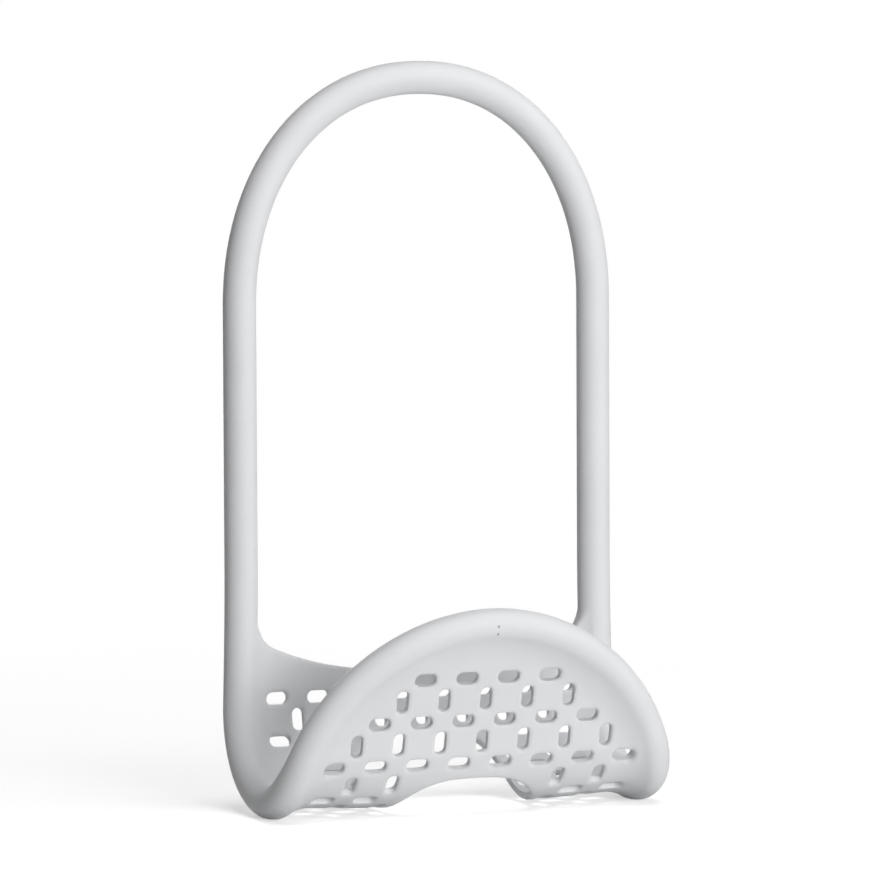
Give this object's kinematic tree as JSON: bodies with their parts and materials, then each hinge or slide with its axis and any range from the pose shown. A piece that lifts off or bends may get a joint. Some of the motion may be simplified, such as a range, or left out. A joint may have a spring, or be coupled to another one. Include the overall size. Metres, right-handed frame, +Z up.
{
  "type": "faucet organizer rack",
  "caption": "Flexible kitchen or bath organizer rack: a perforated soft cradle with a drain opening, on a tall loop that hangs over a faucet.",
  "frame": {"origin": "middle of the overall width and depth, on the surface under the two rounded feet of the rim", "axes": "+Z up along the legs to the loop, +X across the rack to the right seen from the front, -Y out of the front panel"},
  "size_m": [0.154, 0.081, 0.2674],
  "materials": {
    "moulding": "matte soft-touch moulding, light grey-white",
    "wire": "drawn bendable wire, inside the moulding",
    "ferrule": "plain crimped sleeve, inside the moulding"
  },
  "bodies": {
    "cradle": {"cradle_back": "moulding", "core_back_left": "wire", "core_back_right": "wire", "cradle_fold": "moulding", "core_fold_left": "wire", "core_fold_right": "wire", "flex_lower_left": "moulding", "flex_lower_right": "moulding", "core_flex_lower_left": "wire", "core_flex_lower_right": "wire"},
    "front_panel": {"cradle_front": "moulding", "core_front_left": "wire", "core_front_right": "wire", "core_ferrule": "ferrule"},
    "lower_link": {"link_lower_left": "moulding", "link_lower_right": "moulding", "core_link_lower_left": "wire", "core_link_lower_right": "wire", "flex_middle_left": "moulding", "flex_middle_right": "moulding", "core_flex_middle_left": "wire", "core_flex_middle_right": "wire"},
    "upper_link": {"link_middle_left": "moulding", "link_middle_right": "moulding", "core_link_middle_left": "wire", "core_link_middle_right": "wire", "flex_upper_left": "moulding", "flex_upper_right": "moulding", "core_flex_upper_left": "wire", "core_flex_upper_right": "wire"},
    "loop": {"loop_arch": "moulding", "core_loop": "wire"}
  },
  "joints": [
    {"name": "front_panel_flex", "type": "hinge", "parent": "cradle", "child": "front_panel", "pos_m": [0, -0.01725, 0.01322], "axis": [1, 0, 0], "range_deg": [-12, 25], "deforming": ["cradle_fold", "core_fold_left", "core_fold_right"]},
    {"name": "bend_lower", "type": "hinge", "parent": "cradle", "child": "lower_link", "pos_m": [0, 0.0337, 0.12929], "axis": [-1, 0, 0], "range_deg": [-20, 60], "deforming": ["flex_lower_left", "flex_lower_right", "core_flex_lower_left", "core_flex_lower_right"]},
    {"name": "bend_middle", "type": "hinge", "parent": "lower_link", "child": "upper_link", "pos_m": [0, 0.03388, 0.15529], "axis": [-1, 0, 0], "range_deg": [-20, 60], "deforming": ["flex_middle_left", "flex_middle_right", "core_flex_middle_left", "core_flex_middle_right"]},
    {"name": "bend_upper", "type": "hinge", "parent": "upper_link", "child": "loop", "pos_m": [0, 0.03406, 0.18129], "axis": [-1, 0, 0], "range_deg": [-20, 60], "deforming": ["flex_upper_left", "flex_upper_right", "core_flex_upper_left", "core_flex_upper_right"]}
  ]
}
